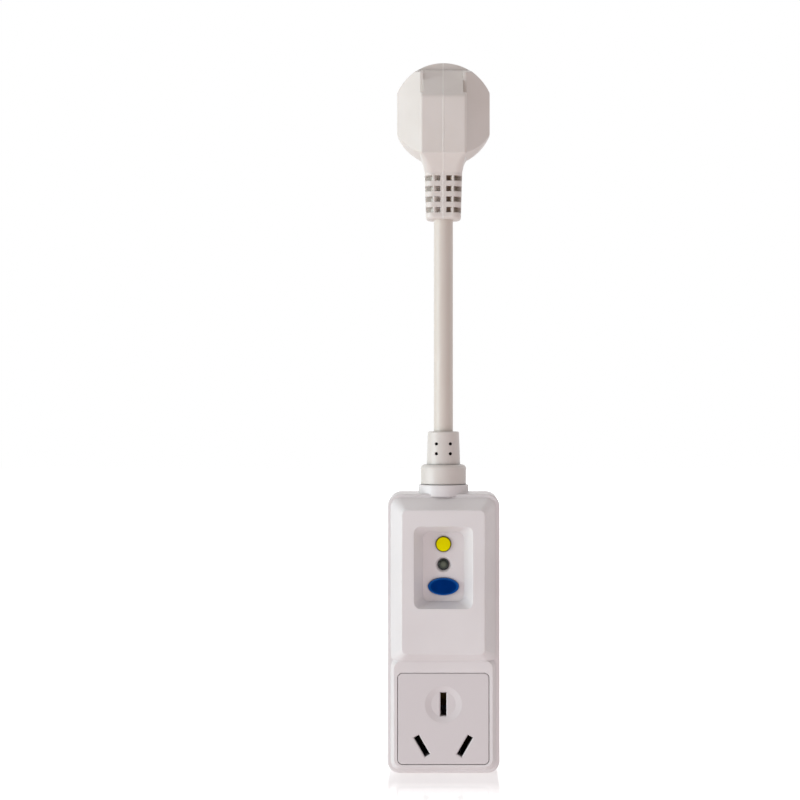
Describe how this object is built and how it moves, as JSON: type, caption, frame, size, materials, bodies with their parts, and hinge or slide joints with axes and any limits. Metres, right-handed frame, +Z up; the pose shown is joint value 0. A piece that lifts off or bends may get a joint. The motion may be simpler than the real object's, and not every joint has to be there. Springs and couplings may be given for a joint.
{
  "type": "rcd adapter plug",
  "caption": "Residual-current adapter lead: three-pin wall plug, short straight cord and a hand-sized housing with test button, reset button, lamp and a three-slot socket.",
  "frame": {"origin": "centre of the wall plug's face, in the plane that meets the wall socket", "axes": "+X to the viewer's right, +Y from the viewer into the wall along the plug's blades, +Z up; the cord and housing hang down from the plug"},
  "size_m": [0.0432, 0.0525, 0.275],
  "materials": {
    "white_housing": "satin moulded white",
    "white_plate": "satin moulded white, a shade greyer",
    "cream_pvc": "soft semi-matt PVC",
    "black_carrier": "hard white insert",
    "pin_brass": "nickel-plated brass",
    "clip_brass": "bare brass",
    "copper": "enamelled copper winding",
    "zinc_steel": "zinc-plated steel",
    "spring_steel": "bright spring steel",
    "yellow_button": "gloss yellow",
    "blue_button": "gloss blue",
    "green_lens": "dark green translucent",
    "led_red": "clear lamp",
    "board_green": "glass-epoxy board",
    "black_part": "moulded black",
    "frame_plastic": "glass-filled nylon",
    "capacitor_yellow": "yellow film-capacitor case",
    "varistor_blue": "epoxy coating",
    "resistor_tan": "lacquered resistor",
    "wire_brown": "brown core",
    "wire_blue": "blue core",
    "wire_green": "green and yellow core"
  },
  "bodies": {
    "housing": {"plug_body": "cream_pvc", "plug_pin_carrier": "black_carrier", "plug_line_pin": "pin_brass", "plug_neutral_pin": "pin_brass", "plug_earth_pin": "pin_brass", "plug_line_core": "wire_brown", "plug_neutral_core": "wire_blue", "plug_earth_core": "wire_green", "supply_cord": "cream_pvc", "cord_gland": "cream_pvc", "cord_clamp": "frame_plastic", "cord_clamp_screws": "zinc_steel", "front_cover": "white_housing", "rear_cover": "white_housing", "housing_screws": "zinc_steel", "socket_plate": "white_plate", "socket_line_clip": "clip_brass", "socket_neutral_clip": "clip_brass", "socket_earth_clip": "clip_brass", "line_bus_strip": "clip_brass", "neutral_bus_strip": "clip_brass", "circuit_board": "board_green", "board_screws": "zinc_steel", "transformer_case": "black_part", "transformer_core": "zinc_steel", "switch_frame": "frame_plastic", "line_inlet_contact": "clip_brass", "line_outlet_contact": "clip_brass", "neutral_inlet_contact": "clip_brass", "neutral_outlet_contact": "clip_brass", "carrier_springs": "spring_steel", "plunger_spring": "spring_steel", "solenoid_yoke": "zinc_steel", "solenoid_bobbin": "frame_plastic", "solenoid_winding": "copper", "reset_spring": "spring_steel", "test_spring": "spring_steel", "test_contact": "clip_brass", "indicator_lens": "green_lens", "indicator_led": "led_red", "filter_capacitor": "capacitor_yellow", "varistor": "varistor_blue", "resistors": "resistor_tan", "diodes": "black_part", "thyristor": "black_part", "control_chip": "black_part", "housing_line_core": "wire_brown", "housing_neutral_core": "wire_blue", "housing_earth_core": "wire_green"},
    "test_button": {"test_button": "yellow_button"},
    "reset_button": {"reset_button": "blue_button"},
    "contact_carrier": {"contact_carrier": "frame_plastic", "line_contact_bridge": "clip_brass", "neutral_contact_bridge": "clip_brass"},
    "trip_latch": {"trip_latch": "zinc_steel"},
    "trip_plunger": {"trip_plunger": "zinc_steel"}
  },
  "joints": [
    {"name": "test_press", "type": "slide", "parent": "housing", "child": "test_button", "axis": [0, 1, 0], "range_m": [0, 0.0012], "stiffness_N_per_m": 400, "springref_m": -0.001, "deforming": ["test_spring"]},
    {"name": "reset_press", "type": "slide", "parent": "housing", "child": "reset_button", "axis": [0, 1, 0], "range_m": [0, 0.002], "stiffness_N_per_m": 500, "springref_m": -0.001, "deforming": ["reset_spring"]},
    {"name": "plunger_pull", "type": "slide", "parent": "housing", "child": "trip_plunger", "axis": [0, 0, -1], "range_m": [0, 0.0016], "stiffness_N_per_m": 300, "springref_m": -0.002, "deforming": ["plunger_spring"]},
    {"name": "contact_trip", "type": "slide", "parent": "housing", "child": "contact_carrier", "axis": [0, 1, 0], "range_m": [0, 0.002], "deforming": ["carrier_springs"]},
    {"name": "latch_release", "type": "slide", "parent": "contact_carrier", "child": "trip_latch", "axis": [0, 0, -1], "range_m": [0, 0.0016]}
  ],
  "couplings": [
    {"joint": "contact_trip", "follows": "plunger_pull", "ratio": 1.25},
    {"joint": "latch_release", "follows": "plunger_pull", "ratio": 1}
  ]
}
